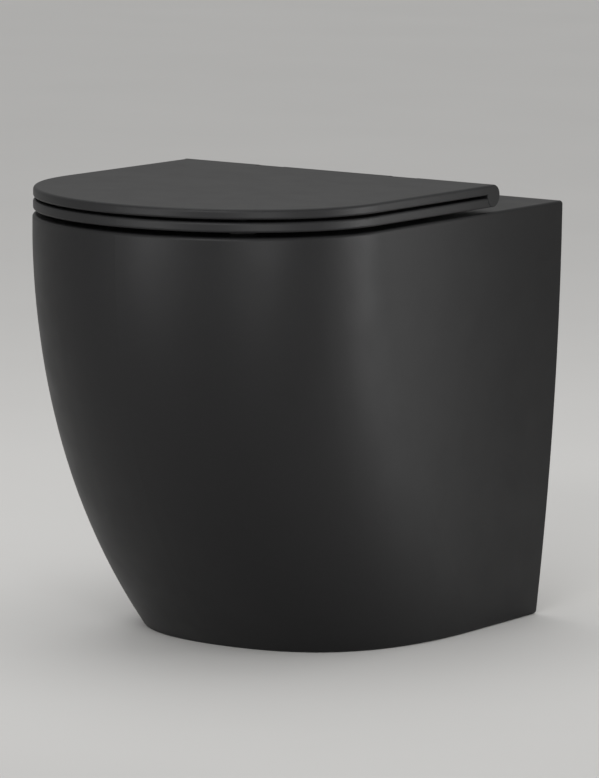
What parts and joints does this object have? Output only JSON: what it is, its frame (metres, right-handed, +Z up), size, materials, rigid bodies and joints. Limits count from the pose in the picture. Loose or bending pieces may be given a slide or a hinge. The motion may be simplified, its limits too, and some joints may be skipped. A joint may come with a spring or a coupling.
{
  "type": "floor-standing toilet",
  "caption": "Back-to-wall floor-standing toilet with a smooth skirted pan, rimless bowl, slim soft-close seat and lid on a rear hinge barrel.",
  "frame": {"origin": "on the floor, midway between the wall plane and the front tip, on the middle line", "axes": "+Z up, +Y towards the wall, +X to the right of a person facing the wall"},
  "size_m": [0.36, 0.49, 0.436],
  "materials": {
    "glazed_black_ceramic": "matt black glaze on vitreous china",
    "unglazed_china": "bare fired body outside, glazed in the passages",
    "moulded_black_resin": "matt black moulded thermoset resin",
    "black_rubber": "moulded rubber",
    "zinc_plated_steel": "zinc-plated pressed steel",
    "stainless_steel": "turned stainless steel",
    "black_coated_steel": "matt black coating on pressed steel",
    "black_nylon": "moulded nylon",
    "white_acetal": "moulded acetal"
  },
  "bodies": {
    "pan": {"pan_skirt": "glazed_black_ceramic", "pan_bowl": "glazed_black_ceramic", "pan_trapway": "unglazed_china", "pan_flush_channel": "unglazed_china", "flush_inlet_seal": "black_rubber", "floor_bracket_left": "zinc_plated_steel", "floor_bracket_right": "zinc_plated_steel", "clamp_screws": "zinc_plated_steel", "clamp_washers": "zinc_plated_steel", "clamp_nuts": "zinc_plated_steel", "hinge_gaskets": "black_rubber", "hinge_post_left": "stainless_steel", "hinge_post_right": "stainless_steel", "rosette_left": "black_coated_steel", "rosette_right": "black_coated_steel", "hinge_sleeves": "black_rubber", "hinge_washers": "stainless_steel", "wing_nuts": "black_nylon", "hinge_block_left": "black_nylon", "hinge_block_right": "black_nylon", "release_spring_left": "stainless_steel", "release_spring_right": "stainless_steel", "lid_damper_rotor": "white_acetal", "lid_pivot_pin": "stainless_steel", "seat_damper_rotor": "white_acetal", "seat_pivot_pin": "stainless_steel"},
    "seat": {"seat_ring": "moulded_black_resin", "seat_buffers": "black_rubber", "seat_damper_housing": "white_acetal", "seat_bush": "white_acetal"},
    "lid": {"lid": "moulded_black_resin", "lid_buffers": "black_rubber", "lid_damper_housing": "white_acetal", "lid_bush": "white_acetal"},
    "release_left": {"release_button_left": "black_nylon"},
    "release_right": {"release_button_right": "black_nylon"}
  },
  "joints": [
    {"name": "seat_hinge", "type": "hinge", "parent": "pan", "child": "seat", "pos_m": [0, 0.118, 0.42525], "axis": [-1, 0, 0], "range_deg": [0, 90]},
    {"name": "lid_hinge", "type": "hinge", "parent": "seat", "child": "lid", "pos_m": [0, 0.118, 0.42525], "axis": [-1, 0, 0], "range_deg": [0, 91]},
    {"name": "release_left_press", "type": "slide", "parent": "pan", "child": "release_left", "axis": [0, -1, 0], "range_m": [0, 0.002], "stiffness_N_per_m": 800, "springref_m": -0.002, "deforming": ["release_spring_left"]},
    {"name": "release_right_press", "type": "slide", "parent": "pan", "child": "release_right", "axis": [0, -1, 0], "range_m": [0, 0.002], "stiffness_N_per_m": 800, "springref_m": -0.002, "deforming": ["release_spring_right"]}
  ]
}
